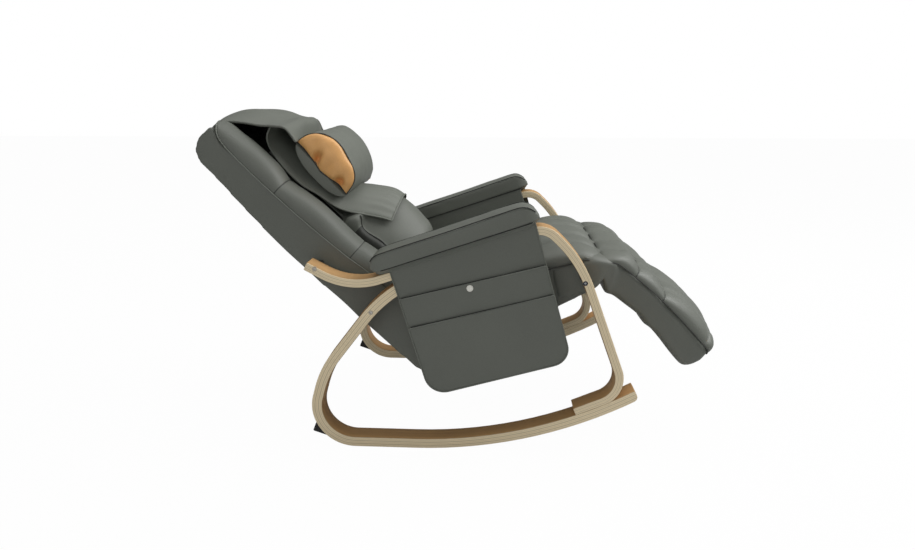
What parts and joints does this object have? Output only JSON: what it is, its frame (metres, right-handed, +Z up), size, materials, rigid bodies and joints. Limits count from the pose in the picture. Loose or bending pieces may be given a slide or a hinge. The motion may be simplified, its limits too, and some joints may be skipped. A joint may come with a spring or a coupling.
{
  "type": "massage rocking chair",
  "caption": "Reclined rocking chair with bent plywood sides, padded leather body, tilting leg rest, armrest pockets, head pillow and a massage drive in the back.",
  "frame": {"origin": "on the floor under the middle of the length and width", "axes": "+X forward to the leg rest, +Y to the sitter's left, +Z up"},
  "size_m": [1.3394, 0.7192, 0.8592],
  "materials": {
    "bent_plywood": "satin lacquer",
    "inner_plywood": "raw",
    "grey_cover": "soft grain",
    "grey_padding": "soft grain over foam",
    "pocket_cloth": "soft grain",
    "tan_ends": "soft",
    "black_mesh": "open weave",
    "bright_steel": "brushed",
    "black_steel": "powder coat",
    "black_plastic": "moulded",
    "black_rubber": "matt",
    "nut_brass": "machined"
  },
  "bodies": {
    "chair": {"arm_left": "bent_plywood", "arm_right": "bent_plywood", "armrest_pad_left": "grey_padding", "armrest_pad_right": "grey_padding", "back_bolster_left": "grey_padding", "back_bolster_right": "grey_padding", "back_frame": "black_steel", "back_side_left": "grey_cover", "back_side_right": "grey_cover", "body_bolts": "bright_steel", "body_spacers": "black_plastic", "bolster_battens": "inner_plywood", "control_box": "black_plastic", "guide_rails": "bright_steel", "head_pillow": "grey_padding", "head_sheet": "grey_cover", "hinge_pins": "bright_steel", "inner_panels": "pocket_cloth", "joint_bolts": "bright_steel", "lift_motor": "black_steel", "lumbar_pad": "grey_padding", "massage_mesh": "black_mesh", "pillow_ends": "tan_ends", "pocket_panel_left": "pocket_cloth", "pocket_panel_right": "pocket_cloth", "pocket_pouches_left": "pocket_cloth", "pocket_pouches_right": "pocket_cloth", "pocket_studs": "bright_steel", "power_inlet": "black_plastic", "power_supply": "black_steel", "rail_blocks": "bright_steel", "rear_cover": "grey_cover", "rear_stops": "black_rubber", "rocker_left": "bent_plywood", "rocker_right": "bent_plywood", "seat_bottom_cover": "black_mesh", "seat_cushion": "grey_padding", "seat_deck": "inner_plywood", "seat_frame": "black_steel", "seat_side_left": "grey_cover", "seat_side_right": "grey_cover", "vibration_motor": "black_plastic"},
    "legrest": {"legrest_frame": "black_steel", "legrest_deck": "inner_plywood", "legrest_shell": "grey_padding", "legrest_cushion": "grey_padding"},
    "carriage": {"carriage_plate": "black_steel", "carriage_bushes": "black_plastic", "drive_nut": "nut_brass", "shaft_bearings": "black_steel", "kneading_gearbox": "black_steel", "kneading_motor": "black_steel"},
    "screw": {"lead_screw": "bright_steel"},
    "shaft": {"kneading_shaft": "bright_steel"},
    "arm_r": {"massage_arm_right": "black_steel"},
    "arm_l": {"massage_arm_left": "black_steel"},
    "roller_lr": {"roller_lower_right": "black_rubber"},
    "roller_ur": {"roller_upper_right": "black_rubber"},
    "roller_ll": {"roller_lower_left": "black_rubber"},
    "roller_ul": {"roller_upper_left": "black_rubber"}
  },
  "joints": [
    {"name": "legrest_tilt", "type": "hinge", "parent": "chair", "child": "legrest", "pos_m": [0.36042, 0, 0.47395], "axis": [0, -1, 0], "range_deg": [-25, 30]},
    {"name": "carriage_lift", "type": "slide", "parent": "chair", "child": "carriage", "axis": [-0.7443, 0, 0.6678], "range_m": [-0.165, 0.16]},
    {"name": "screw_spin", "type": "hinge", "parent": "chair", "child": "screw", "pos_m": [-0.25874, 0, 0.43244], "axis": [-0.7443, 0, 0.6678], "range_deg": [-3000, 3000]},
    {"name": "kneading_spin", "type": "hinge", "parent": "carriage", "child": "shaft", "pos_m": [-0.38003, 0, 0.56679], "axis": [0, 1, 0], "continuous": true},
    {"name": "arm_right_tilt", "type": "hinge", "parent": "carriage", "child": "arm_r", "pos_m": [-0.38003, 0, 0.56679], "axis": [0, 1, 0], "range_deg": [-8, 8]},
    {"name": "arm_left_tilt", "type": "hinge", "parent": "carriage", "child": "arm_l", "pos_m": [-0.38003, 0, 0.56679], "axis": [0, 1, 0], "range_deg": [-8, 8]},
    {"name": "roller_lower_right_spin", "type": "hinge", "parent": "arm_r", "child": "roller_lr", "pos_m": [-0.33775, 0, 0.53155], "axis": [0, 1, 0], "continuous": true},
    {"name": "roller_upper_right_spin", "type": "hinge", "parent": "arm_r", "child": "roller_ur", "pos_m": [-0.41963, 0, 0.60501], "axis": [0, 1, 0], "continuous": true},
    {"name": "roller_lower_left_spin", "type": "hinge", "parent": "arm_l", "child": "roller_ll", "pos_m": [-0.33775, 0, 0.53155], "axis": [0, 1, 0], "continuous": true},
    {"name": "roller_upper_left_spin", "type": "hinge", "parent": "arm_l", "child": "roller_ul", "pos_m": [-0.41963, 0, 0.60501], "axis": [0, 1, 0], "continuous": true}
  ],
  "couplings": [
    {"joint": "screw_spin", "follows": "carriage_lift", "rad_per_m": 314.16},
    {"joint": "arm_left_tilt", "follows": "arm_right_tilt", "ratio": -1}
  ]
}
